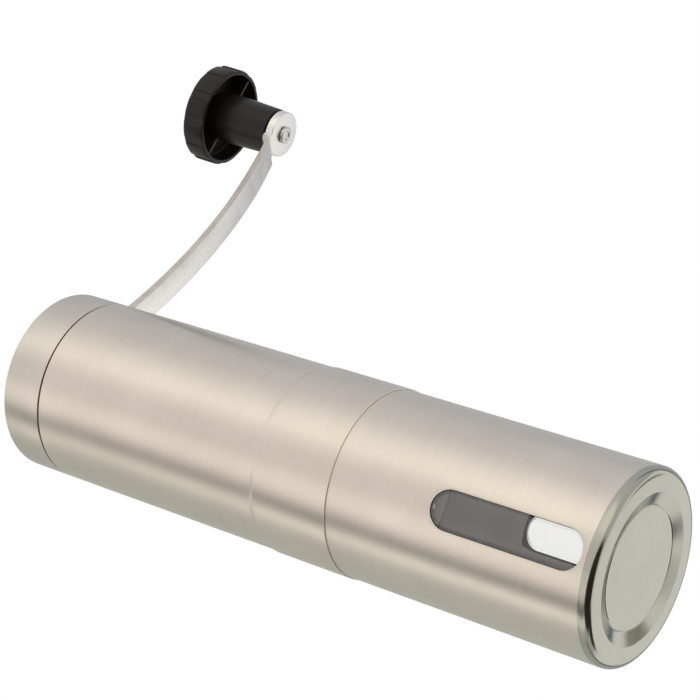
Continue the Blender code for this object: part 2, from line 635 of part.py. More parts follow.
def adjuster_nut():
    top = CONE_BOTTOM - GAP - DRIVER_FLANGE - GAP
    turns = evenly(NUT_LOBES * 6)
    points = [((NUT_R + NUT_LOBE_DEPTH * math.cos(NUT_LOBES * t)) * math.cos(t),
               (NUT_R + NUT_LOBE_DEPTH * math.cos(NUT_LOBES * t)) * math.sin(t)) for t in turns]
    item = prism("adjuster_nut", points, top - NUT_DISC, top, "white_plastic")
    join(item, rod("nut_hub", NUT_HUB_R, top - NUT_HEIGHT, top - 1))
    cut(item, rod("nut_bore", SHAFT_R + GAP, top - NUT_HEIGHT - OVERSHOOT, top + OVERSHOOT))


# ---- crank ------------------------------------------------------------------------------------
def crank_base():
    return LID_TOP + CRANK_LIFT_OFF


def boss_frame():
    """An empty in the middle of the boss's underside, whose Z is the knob's axis."""
    axis = bpy.data.objects.new("knob_axis", None)
    bpy.context.scene.collection.objects.link(axis)
    axis.location = (CRANK_REACH * MM, 0, (crank_base() + CRANK_RISE) * MM)
    axis.rotation_euler = (BOSS_LEAN, -BOSS_DIP, 0)
    return axis


def arm_section(share):
    """The arm's outline at a share of its length, from inside the hub to inside the boss."""
    first, last = CRANK_HUB_R / 2, CRANK_REACH - ARM_INSET
    x = first + (last - first) * share
    rise = CRANK_RISE - ARM_INSET * math.tan(BOSS_DIP) - ARM_SINK
    low = crank_base() + rise * (max(0.0, x - CRANK_FLAT_TO) / (last - CRANK_FLAT_TO)) ** 2
    half = (ARM_WIDTH[0] + (ARM_WIDTH[1] - ARM_WIDTH[0]) * share) / 2
    end = ARM_THICK[0] if share < 0.5 else ARM_THICK[2]
    thick = ARM_THICK[1] + (end - ARM_THICK[1]) * (2 * share - 1) ** 2
    turn = BOSS_LEAN * max(0.0, 1 - (last - x) / TWIST_LENGTH)
    outline = [(-half + ARM_EDGE, 0), (half - ARM_EDGE, 0), (half, ARM_EDGE), (half, thick - ARM_EDGE),
               (half - ARM_EDGE, thick), (-half + ARM_EDGE, thick), (-half, thick - ARM_EDGE), (-half, ARM_EDGE)]
    return [(x, y * math.cos(turn) - z * math.sin(turn), low + y * math.sin(turn) + z * math.cos(turn))
            for y, z in outline]


def crank_arm(axis):
    bm = bmesh.new()
    sections = [[bm.verts.new([value * MM for value in point]) for point in arm_section(i / ARM_STEPS)]
                for i in range(ARM_STEPS + 1)]
    for near, far in zip(sections, sections[1:]):
        for i in range(len(near)):
            j = (i + 1) % len(near)
            bm.faces.new((near[i], near[j], far[j], far[i]))
    bm.faces.new(sections[0])
    bm.faces.new(reversed(sections[-1]))
    arm = to_object(bm, "crank_arm", "cast_aluminium")

    base = crank_base()
    hub_top = base + CRANK_HUB_HEIGHT
    hub = lathe("crank_hub", [
        (0, base), (CRANK_HUB_R - 0.4, base), (CRANK_HUB_R, base + 0.4), (CRANK_HUB_R, hub_top - 0.8),
        (CRANK_HUB_R - 0.8, hub_top), (0, hub_top),
    ])
    boss = lathe("crank_boss", [
        (0, 0), (CRANK_BOSS_R - 0.3, 0), (CRANK_BOSS_R, 0.3), (CRANK_BOSS_R, CRANK_BOSS_HEIGHT - 0.3),
        (CRANK_BOSS_R - 0.3, CRANK_BOSS_HEIGHT), (0, CRANK_BOSS_HEIGHT),
    ], sides=ROUND)
    rivet_hole = rod("rivet_hole", RIVET_R + GAP, -5 * OVERSHOOT, CRANK_BOSS_HEIGHT + 5 * OVERSHOOT)
    boss.parent = axis
    rivet_hole.parent = axis
    join(arm, hub, boss)
    cut(arm, prism("hex_hole", hexagon(HEX_FLATS + 2 * HEX_CLEARANCE), base - OVERSHOOT, hub_top + OVERSHOOT),
        rivet_hole)


# ---- knob -------------------------------------------------------------------------------------
def knob(axis):
    """The turning knob; its pieces are modelled round their own axis and hang on the empty there."""
    sleeve_bottom = CRANK_BOSS_HEIGHT + KNOB_LIFT
    washer_bottom = CRANK_BOSS_HEIGHT + GAP
    washer_seat = washer_bottom + WASHER_THICK + GAP
    rim = sleeve_bottom + KNOB_SLEEVE_LENGTH
    top = rim + KNOB_CAP_HEIGHT
    plate_bottom = top - PLATE_THICK
    cavity_top = rim + KNOB_CAVITY_DEPTH
    cavity_r = KNOB_CAP_R - KNOB_RIM_WALL
    low_r, high_r = KNOB_SLEEVE_R
    neck_r = high_r - KNOB_NECK_STEP
    bore = RIVET_R + GAP
    seat_r = KNOB_WASHER_R + GAP
    counterbore_floor = plate_bottom - GAP - COUNTERBORE_DEPTH

    washer = ring("knob_washer", (bore, KNOB_WASHER_R), (washer_bottom, washer_bottom + WASHER_THICK),
                  "bright_steel")
    body = lathe("knob_body", [
        (bore, washer_seat), (seat_r, washer_seat), (seat_r, sleeve_bottom), (low_r - 0.3, sleeve_bottom),
        (low_r, sleeve_bottom + 0.3), (high_r, rim), (neck_r, rim), (neck_r, cavity_top), (cavity_r, cavity_top),
        (cavity_r, rim + 0.3), (cavity_r + 0.3, rim), (KNOB_CAP_R - 0.5, rim), (KNOB_CAP_R, rim + 0.5),
        (KNOB_CAP_R, top - 1.0), (KNOB_CAP_R - 1.0, top), (PLATE_R + GAP, top),
        (PLATE_R + GAP, plate_bottom - GAP), (COUNTERBORE_R, plate_bottom - GAP),
        (COUNTERBORE_R, counterbore_floor), (bore, counterbore_floor),
    ], "black_plastic", ROUND)
    for i, azimuth in enumerate(evenly(KNOB_RIBS, KNOB_RIB_AZIMUTH)):
        rib = box(f"knob_rib_{i}", (neck_r - EMBED, cavity_r + EMBED), KNOB_RIB_THICK / 2,
                  (rim + KNOB_RIB_SINK, cavity_top + EMBED), azimuth)
        rib.parent = axis
        join(body, rib)
    for i, azimuth in enumerate(evenly(GRIP_PADS)):
        pad = sector(f"grip_pad_{i}", (KNOB_CAP_R - EMBED, KNOB_CAP_R + GRIP_PAD_HEIGHT), (rim + 1.0, top - 1.4),
                     azimuth, GRIP_PAD_ANGLE, steps=3)
        pad.parent = axis
        join(body, pad)
    plate = lathe("knob_plate", [
        (0, plate_bottom), (PLATE_R, plate_bottom), (PLATE_R, top - 0.3), (PLATE_R - 0.3, top), (0, top),
    ], "black_plastic", FINE)

    head_top = -GAP
    head_bottom = head_top - RIVET_HEAD_HEIGHT
    upper_low = counterbore_floor + GAP
    rivet = lathe("knob_rivet", [
        (0, head_bottom), (RIVET_HEAD_R - 0.5, head_bottom), (RIVET_HEAD_R, head_bottom + 0.4),
        (RIVET_HEAD_R, head_top), (RIVET_R, head_top), (RIVET_R, upper_low), (RIVET_TOP_HEAD_R, upper_low),
        (RIVET_TOP_HEAD_R, upper_low + 0.8), (RIVET_TOP_HEAD_R - 0.6, upper_low + 1.4), (0, upper_low + 1.4),
    ], "bright_steel", SHAFT_SIDES)
    for piece in (washer, body, plate, rivet):
        piece.parent = axis


def main():
    clear_scene()
    hopper_tube()
    grounds_cup()
    window_sleeve()
    lid_shell()
    lid_plug()
    upper_bracket()
    burr_carrier()
    retaining_ring()
    outer_burr()
    inner_burr()
    drive_shaft()
    washers_and_clip()
    burr_spring()
    burr_driver()
    adjuster_nut()
    axis = boss_frame()
    crank_arm(axis)
    knob(axis)


main()
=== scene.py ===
"""Looks for the hand coffee mill: smooth steel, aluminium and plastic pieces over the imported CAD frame."""
import math

import bmesh
import bpy
from mathutils import Matrix, Vector


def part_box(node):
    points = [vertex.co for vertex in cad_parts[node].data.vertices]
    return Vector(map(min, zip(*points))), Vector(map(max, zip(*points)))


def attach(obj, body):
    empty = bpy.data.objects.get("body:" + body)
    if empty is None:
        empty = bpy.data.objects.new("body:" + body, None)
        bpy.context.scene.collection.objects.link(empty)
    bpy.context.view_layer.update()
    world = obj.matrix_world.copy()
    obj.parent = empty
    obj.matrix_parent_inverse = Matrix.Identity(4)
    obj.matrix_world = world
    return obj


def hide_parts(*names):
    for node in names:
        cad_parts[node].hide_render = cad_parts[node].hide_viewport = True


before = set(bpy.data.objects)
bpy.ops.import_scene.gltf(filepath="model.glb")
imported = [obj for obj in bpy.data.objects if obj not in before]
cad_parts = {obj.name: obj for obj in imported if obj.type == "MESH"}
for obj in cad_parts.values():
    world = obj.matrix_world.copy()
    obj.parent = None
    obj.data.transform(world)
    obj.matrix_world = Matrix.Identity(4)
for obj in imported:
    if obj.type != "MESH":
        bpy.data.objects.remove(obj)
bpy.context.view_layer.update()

MM = 0.001

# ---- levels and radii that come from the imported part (metres) ----------------------------------------------
tube_low, tube_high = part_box("hopper_tube")
_, cup_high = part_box("grounds_cup")
lid_low, lid_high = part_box("lid_shell")
sleeve_low, sleeve_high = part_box("window_sleeve")
arm_low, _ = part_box("crank_arm")

# ---- sizes shared with the part (millimetres) --------------------------------------------------------------
CUP_R = cup_high.x / MM
WALL = 0.6
EDGE = 0.15                      # rounding on sheet edges
LIP_HEIGHT = 0.4                 # height of the painted highlight: lighter steel along the skirt's lower edge
LIP_ROUND = (0.04, 0.14)         # rounding inside and outside the skirt's lower edge
SKIRT_R = CUP_R + 0.30           # the sheet is drawn down onto the cup, so the skirt barely stands proud
SKIRT_BORE = CUP_R + 0.04
SKIRT_BOTTOM = tube_low.z / MM
SKIRT_LENGTH = 22.4
SKIRT_TAPER = 1.0
SKIRT_TOP = SKIRT_BOTTOM + SKIRT_LENGTH
SKIRT_BLEND_BOTTOM = SKIRT_TOP - 0.4        # the skirt runs into the tube from here
SKIRT_BLEND_HEIGHT = SKIRT_TAPER + 0.6
SKIRT_BLEND_STEPS = 8
TUBE_TOP = tube_high.z / MM
LID_BOTTOM = lid_low.z / MM
LID_TOP = lid_high.z / MM
LID_CORNER = 0.8
LID_INNER_CORNER = LID_CORNER - 0.12
LID_HOLE_R = 4.4
CUP_TOP = cup_high.z / MM
CUP_CORNER = 2.3
RING_OUTER = CUP_R - CUP_CORNER
RING_INNER = RING_OUTER - 3.4
RECESS_R = RING_INNER - 3.2
RECESS_DEPTH = 1.1
RECESS_FLOOR = RECESS_DEPTH + WALL          # the recess's disc, seen from inside the cup
RECESS_ROUND = 0.25
GROOVE = (0.5, 0.28, 0.14, 0.1)  # fine groove round the disc: inner edge, middle, depth, rounding
RING_ROUND = 0.7
BASE, INSIDE, RIM = 1, 2, 3      # places of these materials on the cup; its wall is place 0
INSIDE_REACH = 0.02              # faces this near the cup's inner wall count as inside
FLOOR_BEND = 0.6
WINDOW_AZIMUTH = math.radians(-134.6)
WINDOW_BOTTOM = 3.9
WINDOW_TOP = 44.5
WINDOW_HALF = 9.7 / 2
WINDOW_MARGIN = 1.1              # the fine band of the cup's mesh goes past the windows by this much
WINDOW_ROWS = 64
WINDOW_COLUMNS = 10              # columns of the cup's mesh opened each side of a window's middle
SLEEVE_R = sleeve_high.x / MM
SLEEVE_WALL = 1.0
SLEEVE_ROUND = 0.2
PAD_PLAY = 0.45                  # dark line round the window pad
PAD_SINK = 0.02                  # the pad's root lies this far inside the sleeve
PAD_FACE_R = CUP_R - 0.42
PAD_ROUND = 0.16
PAD_TURNS = 24
SLEEVE_BOTTOM = sleeve_low.z / MM
SLEEVE_TOP = sleeve_high.z / MM

CRANK_BASE = arm_low.z / MM
CRANK_REACH = 127.6
CRANK_RISE = 21.0
CRANK_HUB_R = 8.0
CRANK_HUB_HEIGHT = 6.5
CRANK_BOSS_R = 7.15
CRANK_BOSS_HEIGHT = 2.6
HUB_ROUND = (0.4, 0.8)           # rounding at the hub's bottom and top
BOSS_ROUND = 0.35
BOSS_LEAN = math.radians(6.8)
BOSS_DIP = math.radians(2.2)
CRANK_FLAT_TO = CUP_R + 6.2
ARM_INSET = 3.3                  # the arm's end stops this far before the boss's middle
ARM_SINK = 0.05
ARM_WIDTH = (6.8, 7.6)           # at the hub and at the boss
ARM_THICK = (3.5, 2.2, 2.5)      # at the hub, half way and at the boss
ARM_ROUND = 0.32
ARM_STEPS = 90
TWIST_LENGTH = 20.0
FLUSH_LENGTH = 4.5               # the arm's underside runs into the boss's face over this length
ROOT_FLARE = 0.35                # each side of the arm spreads this much where it meets the boss
FLARE_LENGTH = 3.5
FLARE_LEAD = 0.6                 # share of the flare that lies before the boss's rim
EDGE_TURNED = 0.7                # a face whose normal is this far sideways is one of the arm's side faces, which take a painted shade
HEX_FLATS = 6.0                  # bore of the crank's hub, flat to flat

SLEEVE_FOOT = CRANK_BOSS_HEIGHT + 0.5
KNOB_RIM = SLEEVE_FOOT + 17.7
KNOB_TOP = KNOB_RIM + 7.7
KNOB_SLEEVE_R = (7.3, 7.9)       # at the foot and at the rim
KNOB_NECK_R = 7.0
KNOB_CAP_R = 15.1
KNOB_CAVITY_R = 13.9
KNOB_CAVITY_DEPTH = 5.4
KNOB_CAVITY_TOP = KNOB_RIM + KNOB_CAVITY_DEPTH
KNOB_SEAT_R = 5.5                # recess over the washer
KNOB_RIB_THICK = 0.8
KNOB_RIB_SINK = 0.6
KNOB_RIB_BITE = 0.5              # a rib runs this far into the plastic round it
KNOB_RIB_AZIMUTH = math.radians(151.5)
KNOB_SIDES = 360
GRIP_PADS = 12
GRIP_ANGLE = math.radians(20)
GRIP_START = 0.5                 # degrees
GRIP_HEIGHT = 0.35
GRIP_DEPTH = 0.6                 # only the cap's outermost skin is pushed out
GRIP_SWELL = 0.7                 # power of the pads' rise
GRIP_FADE = (1.0, 1.3)           # the pads rise over these heights from the rim and from the top
RIVET_R = 2.0
RIVET_HEAD_R = 2.7
RIVET_HEAD_HEIGHT = 0.9
RIVET_DIMPLE = (1.15, 1.45, 0.35)           # radius at its floor, radius at its mouth, depth
RIVET_TAIL_R = RIVET_R + 1.4
RIVET_TAIL_HEIGHT = 1.4
RIVET_GAP = 0.3                  # between rivet and crank, washer and knob
PIN_PLAY = 0.3                   # bores stand this much off the rivet
WASHER_R = (2.3, 5.2)
WASHER_THICK = 0.6
WASHER_ROUND = (0.08, 0.12)
PLATE_R = 12.4
PLATE_THICK = 1.2
PLATE_PLAY = 0.3
PLATE_BOTTOM = KNOB_TOP - PLATE_THICK
COUNTER_DEPTH = 2.3              # room for the rivet's tail, under the plate
COUNTER_FLOOR = PLATE_BOTTOM - PLATE_PLAY - COUNTER_DEPTH
COUNTER_R = RIVET_TAIL_R + 0.8

KNOB_FRAME = (Matrix.Translation((CRANK_REACH * MM, 0, (CRANK_BASE + CRANK_RISE) * MM))
              @ Matrix.Rotation(-BOSS_DIP, 4, "Y") @ Matrix.Rotation(BOSS_LEAN, 4, "X"))

TURNS = 256                      # segments round the steel body
ROUND = 128                      # segments round smaller pieces
SHARP = math.radians(32)
TINY = 1e-6

# ---- the camera's place (metres and radians), and the side of the mill that the light is laid out from --------
CAMERA_TARGET = Vector((0.0205566, -0.0212027, 0.0943128))
CAMERA_AZIMUTH = math.radians(-135.886)
CAMERA_ELEVATION = math.radians(-34.0097)
CAMERA_DISTANCE = 0.549167
CAMERA_ROLL = math.radians(-73.842)
CAMERA_LENS = 112.09
CAMERA_SENSOR = 36.0
CAMERA_CLIP = (0.01, 20.0)
CAMERA_SIDE = math.radians(-132.2)


# ---- mesh helpers ------------------------------------------------------------------------------------------
def ease(share):
    """0 below 0, 1 above 1, and a smooth S between them."""
    share = min(1.0, max(0.0, share))
    return share * share * (3 - 2 * share)


def rounded(corners, steps=6):
    """A closed outline of (radius, height) points from corners (radius, height, fillet)."""
    points = []
    count = len(corners)
    for i, (r, z, fillet) in enumerate(corners):
        here = Vector((r, z))
        if fillet <= 0:
            points.append(here)
            continue
        before = Vector(corners[i - 1][:2])
        after = Vector(corners[(i + 1) % count][:2])
        a = (before - here).normalized()
        b = (after - here).normalized()
        half = math.acos(max(-1.0, min(1.0, a.dot(b)))) / 2
        reach = fillet / math.tan(half)
        centre = here + (a + b).normalized() * (fillet / math.sin(half))
        start = here + a * reach - centre
        end = here + b * reach - centre
        sweep = start.angle_signed(end)
        for k in range(steps + 1):
            t = -sweep * k / steps
            c, s = math.cos(t), math.sin(t)
            points.append(centre + Vector((start.x * c - start.y * s, start.x * s + start.y * c)))
    return [(p.x, p.y) for p in points]


def bare(name, bm, frame_matrix=None):
    """A mesh object from bmesh data in metres, smooth but for its real edges."""
    bmesh.ops.remove_doubles(bm, verts=bm.verts, dist=1e-7)
    bmesh.ops.recalc_face_normals(bm, faces=bm.faces)
    mesh = bpy.data.meshes.new(name)
    bm.to_mesh(mesh)
    bm.free()
    item = bpy.data.objects.new(name, mesh)
    bpy.context.scene.collection.objects.link(item)
    if frame_matrix is not None:
        mesh.transform(frame_matrix)
    mesh.shade_smooth()
    mesh.set_sharp_from_angle(angle=SHARP)
    return item


def circle(bm, r, z, sides, start=0.0):
    """A ring of vertices round Z, or one vertex given many times where the radius is nothing."""
    if r < TINY:
        return [bm.verts.new((0, 0, z * MM))] * sides
    return [bm.verts.new((r * math.cos(t) * MM, r * math.sin(t) * MM, z * MM))
            for t in (start + math.tau * i / sides for i in range(sides))]


def skin(bm, near, far, i):
    """The face between two rings at place i, without the corners that fall together; None if none is left."""
    k = (i + 1) % len(near)
    corners = []
    for vert in (near[i], near[k], far[k], far[i]):
        if vert not in corners:
            corners.append(vert)
    return bm.faces.new(corners) if len(corners) > 2 else None


def lathe(name, outline, sides=ROUND, frame_matrix=None):
    """Turns a closed outline of (radius, height) in mm round Z; points on the axis close the ends."""
    bm = bmesh.new()
    rows = [circle(bm, r, z, sides) for r, z in outline]
    pairs = list(zip(rows, rows[1:]))
    if outline[0][0] >= TINY:
        pairs.append((rows[-1], rows[0]))
    for low, high in pairs:
        for i in range(sides):
            skin(bm, low, high, i)
    return bare(name, bm, frame_matrix)


def prism(name, points, low, high, frame_matrix=None):
    """A straight-sided solid over an outline of (x, y) points in mm."""
    bm = bmesh.new()
    bottom = [bm.verts.new((x * MM, y * MM, low * MM)) for x, y in points]
    top = [bm.verts.new((x * MM, y * MM, high * MM)) for x, y in points]
    bm.faces.new(bottom)
    bm.faces.new(top)
    for i in range(len(points)):
        j = (i + 1) % len(points)
        bm.faces.new((bottom[i], bottom[j], top[j], top[i]))
    return bare(name, bm, frame_matrix)


def combine(item, tool, operation):
    """Applies an exact boolean and removes the tool."""
    modifier = item.modifiers.new("combine", "BOOLEAN")
    modifier.operation = operation
    modifier.solver = "EXACT"
    modifier.object = tool
    bpy.context.view_layer.update()
    graph = bpy.context.evaluated_depsgraph_get()
    mesh = bpy.data.meshes.new_from_object(item.evaluated_get(graph))
    item.modifiers.clear()
    item.data = mesh
    bpy.data.objects.remove(tool)
    mesh.shade_smooth()
    mesh.set_sharp_from_angle(angle=SHARP)


# ---- node material helpers ---------------------------------------------------------------------------------
def new_material(name):
    """A node material, its tree and its shader."""
    material = bpy.data.materials.new(name)
    material.use_nodes = True
    tree = material.node_tree
    return material, tree, tree.nodes["Principled BSDF"]


def add(tree, kind, settings=None, **values):
    """A new node; values go to its inputs by name or, as i0, i1 and so on, by number."""
    node = tree.nodes.new(kind)
    for key, value in (settings or {}).items():
        setattr(node, key, value)
    for key, value in values.items():
        socket = node.inputs[int(key[1:])] if key[0] == "i" and key[1:].isdigit() else node.inputs[key]
        if isinstance(value, bpy.types.NodeSocket):
            tree.links.new(value, socket)
        else:
            socket.default_value = value
    return node


def maths(tree, operation, a, b=0.0, c=0.0, clamp=False):
    return add(tree, "ShaderNodeMath", {"operation": operation, "use_clamp": clamp}, i0=a, i1=b, i2=c).outputs[0]


def noise_at(tree, scale_xyz, scale=1.0, detail=2.0, roughness=0.5):
    """Noise on the object's own coordinates, stretched by scale_xyz."""
    coords = add(tree, "ShaderNodeTexCoord").outputs["Object"]
    mapped = add(tree, "ShaderNodeMapping", None, i0=coords, i3=scale_xyz).outputs[0]
    node = add(tree, "ShaderNodeTexNoise", None, Vector=mapped, Scale=scale, Detail=detail, Roughness=roughness)
    return node.outputs["Fac"]


def blend(tree, fac, first, second):
    """Mixes two colours; each may be a value or another node's output."""
    node = add(tree, "ShaderNodeMix", {"data_type": "RGBA"})
    for socket, value in ((node.inputs[0], fac), (node.inputs[6], first), (node.inputs[7], second)):
        if isinstance(value, bpy.types.NodeSocket):
            tree.links.new(value, socket)
        else:
            socket.default_value = value
    return node.outputs[2]


def spread(tree, value, low, high):
    """Maps noise (about 0.3 to 0.7) to low..high."""
    node = add(tree, "ShaderNodeMapRange", None, i0=value, i1=0.3, i2=0.7, i3=low, i4=high)
    return node.outputs[0]


def shade(value):
    return (*value, 1.0)


def brushed(name, dark, light, rough, aniso, across=(30, 30, 3600), bump=0.15):
    """Brushed or turned metal: fine lines along one direction, and broad faint clouds."""
    material, tree, shader = new_material(name)
    fine = noise_at(tree, across, 1.0, 3.0, 0.6)
    coarse = noise_at(tree, tuple(c * 0.35 for c in across), 1.0, 2.0, 0.5)
    cloud = noise_at(tree, (1, 1, 1), 70.0, 3.0, 0.55)
    lines = maths(tree, "ADD", maths(tree, "MULTIPLY", fine, 0.6), maths(tree, "MULTIPLY", coarse, 0.4))
    mix = maths(tree, "ADD", maths(tree, "MULTIPLY", lines, 0.55), maths(tree, "MULTIPLY", cloud, 0.45))
    tree.links.new(blend(tree, spread(tree, mix, 0.0, 1.0), shade(dark), shade(light)), shader.inputs["Base Color"])
    tree.links.new(spread(tree, lines, rough - 0.035, rough + 0.035), shader.inputs["Roughness"])
    shader.inputs["Metallic"].default_value = 1.0
    shader.inputs["Anisotropic"].default_value = aniso
    shader.inputs["Anisotropic Rotation"].default_value = 0.25
    bumps = add(tree, "ShaderNodeBump", None, Strength=bump, Distance=0.00003, Height=lines)
    tree.links.new(bumps.outputs[0], shader.inputs["Normal"])
    if aniso > 0:
        direction = add(tree, "ShaderNodeTangent", {"direction_type": "RADIAL", "axis": "Z"})
        tree.links.new(direction.outputs[0], shader.inputs["Tangent"])
    return material


def cast(name, dark, light, rough, metallic, grain=900.0, bump=0.25, cloud_scale=140.0):
    """A cast or moulded surface: fine grain and faint clouds in colour and gloss."""
    material, tree, shader = new_material(name)
    fine = noise_at(tree, (1, 1, 1), grain, 3.0, 0.6)
    cloud = noise_at(tree, (1, 1, 1), cloud_scale, 3.0, 0.55)
    mix = maths(tree, "ADD", maths(tree, "MULTIPLY", fine, 0.4), maths(tree, "MULTIPLY", cloud, 0.6))
    tree.links.new(blend(tree, spread(tree, mix, 0.0, 1.0), shade(dark), shade(light)), shader.inputs["Base Color"])
    tree.links.new(spread(tree, cloud, rough - 0.05, rough + 0.05), shader.inputs["Roughness"])
    shader.inputs["Metallic"].default_value = metallic
    bumps = add(tree, "ShaderNodeBump", None, Strength=bump, Distance=0.00006, Height=fine)
    tree.links.new(bumps.outputs[0], shader.inputs["Normal"])
    return material


def clear(name, tint, haze):
    """Clear moulded plastic: see-through except where it is seen at a glancing angle."""
    material, tree, shader = new_material(name)
    cloud = noise_at(tree, (1, 1, 1), 260.0, 2.0, 0.5)
    edge = add(tree, "ShaderNodeFresnel", None, IOR=1.35).outputs[0]
    tree.links.new(maths(tree, "ADD", edge, spread(tree, cloud, haze * 0.7, haze), clamp=True), shader.inputs["Alpha"])
    tree.links.new(blend(tree, cloud, shade(tint), shade([c * 0.9 for c in tint])), shader.inputs["Base Color"])
    shader.inputs["Roughness"].default_value = 0.08
    shader.inputs["Metallic"].default_value = 1.0
    return material


# ---- materials ---------------------------------------------------------------------------------------------
STEEL = brushed("tube_steel_brushed", (0.74, 0.675, 0.595), (0.86, 0.79, 0.705), 0.31, 0.92)
CUP_STEEL = brushed("cup_steel_brushed", (0.75, 0.685, 0.605), (0.87, 0.80, 0.715), 0.31, 0.92)
LID_STEEL = brushed("lid_steel_brushed", (0.70, 0.65, 0.585), (0.82, 0.765, 0.695), 0.31, 0.92)
# satin turned base, its colour set far darker than the wall's steel: painted shade on the underside
BASE_SATIN_SHADED = brushed("cup_base_satin_painted_shade", (0.455, 0.45, 0.395), (0.515, 0.51, 0.455), 0.15, 0.0, (900, 900, 900), 0.05)
# lighter steel along the skirt's lower edge: a painted highlight
LIP_PAINTED_HIGHLIGHT = brushed("skirt_lip_painted_highlight", (0.80, 0.74, 0.66), (0.95, 0.89, 0.80), 0.50, 0.0, (900, 900, 900), 0.05)
# near-black steel for the windows' cut faces: painted shade for the dark between cup and sleeve
RIM_PAINTED_SHADE = cast("window_rim_painted_shade", (0.020, 0.016, 0.013), (0.045, 0.036, 0.030), 0.5, 0.2)
INSIDE_STEEL = cast("cup_inside_blasted", (0.80, 0.79, 0.77), (0.88, 0.87, 0.85), 0.55, 0.25)
# a slight glow stands for the light that is thrown about inside the cup
INSIDE_STEEL.node_tree.nodes["Principled BSDF"].inputs["Emission Color"].default_value = (0.90, 0.88, 0.86, 1)
INSIDE_STEEL.node_tree.nodes["Principled BSDF"].inputs["Emission Strength"].default_value = 0.085
BRIGHT = brushed("bright_steel_turned", (0.62, 0.62, 0.61), (0.80, 0.80, 0.79), 0.26, 0.5)
SPRING = brushed("spring_steel_drawn", (0.55, 0.54, 0.52), (0.70, 0.69, 0.67), 0.30, 0.0)
RIVET = brushed("rivet_steel_worn", (0.60, 0.58, 0.56), (0.82, 0.80, 0.77), 0.30, 0.3, (500, 500, 500))
ALUMINIUM = cast("cast_aluminium_satin", (0.80, 0.775, 0.76), (0.97, 0.95, 0.94), 0.34, 1.0)
# darker, warmer copy of the aluminium for the arm's side faces: painted shade
ARM_SIDE_PAINTED_SHADE = cast("aluminium_side_painted_shade", (0.60, 0.55, 0.49), (0.80, 0.745, 0.68), 0.42, 1.0)
KNOB_BLACK = cast("knob_plastic_black", (0.006, 0.0045, 0.004), (0.014, 0.011, 0.010), 0.36, 0.0, 1400.0, 0.12,
                  220.0)
KNOB_BLACK.node_tree.nodes["Principled BSDF"].inputs["Specular IOR Level"].default_value = 0.34
SMOKE = cast("inner_plastic_smoke", (0.055, 0.054, 0.053), (0.085, 0.084, 0.082), 0.42, 0.0, 1200.0, 0.12)
WHITE = cast("white_plastic_moulded", (0.70, 0.69, 0.66), (0.80, 0.79, 0.76), 0.45, 0.0, 1200.0, 0.10)
CERAMIC = cast("ceramic_fired", (0.76, 0.745, 0.71), (0.86, 0.85, 0.82), 0.33, 0.0, 1500.0, 0.15)
CLEAR = clear("clear_plastic_window", (0.85, 0.83, 0.81), 0.022)


# ---- steel shells ------------------------------------------------------------------------------------------
def tube_shell():
    """The tube, whose skirt runs into it on an S-curve, with a painted highlight of lighter steel along its lower lip.
    """
    bore = CUP_R - WALL
    outer = []
    for k in range(SKIRT_BLEND_STEPS + 1):
        share = k / SKIRT_BLEND_STEPS
        outer.append((SKIRT_R + (CUP_R - SKIRT_R) * ease(share), SKIRT_BLEND_BOTTOM + SKIRT_BLEND_HEIGHT * share, 0))
    corners = [(SKIRT_BORE, SKIRT_BOTTOM, LIP_ROUND[0]), (SKIRT_R, SKIRT_BOTTOM, LIP_ROUND[1]), *outer,
               (CUP_R, TUBE_TOP, EDGE), (bore, TUBE_TOP, EDGE), (bore, SKIRT_TOP + SKIRT_TAPER, 0),
               (SKIRT_BORE, SKIRT_TOP, 0)]
    tube = lathe("tube_skin", rounded(corners), TURNS)
    # faces near the skirt's lower edge take the painted highlight
    for face in tube.data.polygons:
        if face.center.z < (SKIRT_BOTTOM + LIP_HEIGHT) * MM:
            face.material_index = 1
    return tube


def lid_skin():
    bore = CUP_R - WALL
    corners = [(bore, LID_BOTTOM, EDGE), (CUP_R, LID_BOTTOM, EDGE), (CUP_R, LID_TOP, LID_CORNER),
               (LID_HOLE_R, LID_TOP, EDGE), (LID_HOLE_R, LID_TOP - WALL, EDGE),
               (bore, LID_TOP - WALL, LID_INNER_CORNER)]
    return lathe("lid_skin", rounded(corners), TURNS)


def cup_outline():
    """Half-section of the cup, closed on the axis, and the places of the window band's rows in it."""
    low, high = WINDOW_BOTTOM - WINDOW_MARGIN, WINDOW_TOP + WINDOW_MARGIN
    band = [low + (high - low) * k / WINDOW_ROWS for k in range(WINDOW_ROWS + 1)]
    groove_in, groove_mid, groove_depth, groove_round = GROOVE
    under = rounded([
        (0.0, RECESS_DEPTH, 0), (RECESS_R - groove_in, RECESS_DEPTH, groove_round),
        (RECESS_R - groove_mid, RECESS_DEPTH + groove_depth, groove_round), (RECESS_R, RECESS_DEPTH, RECESS_ROUND),
        (RING_INNER, 0, RING_ROUND), (CUP_R, 0, CUP_CORNER), (CUP_R, low, 0),
    ], 10)[:-1]
    over = rounded([
        (CUP_R, high, 0), (CUP_R, CUP_TOP, EDGE), (CUP_R - WALL, CUP_TOP, EDGE), (CUP_R - WALL, high, 0),
    ], 5)[1:-1]
    inside = rounded([
        (CUP_R - WALL, low, 0), (CUP_R - WALL, WALL, CUP_CORNER - WALL), (RING_INNER, WALL, FLOOR_BEND),
        (RECESS_R, RECESS_FLOOR, FLOOR_BEND), (0.0, RECESS_FLOOR, 0),
    ], 8)[1:]
    outline = list(under)
    outer_rows = range(len(outline), len(outline) + len(band))
    outline += [(CUP_R, z) for z in band]
    outline += over
    inner_rows = range(len(outline), len(outline) + len(band))
    outline += [(CUP_R - WALL, z) for z in reversed(band)]
    outline += inside
    return outline, list(outer_rows), list(inner_rows)


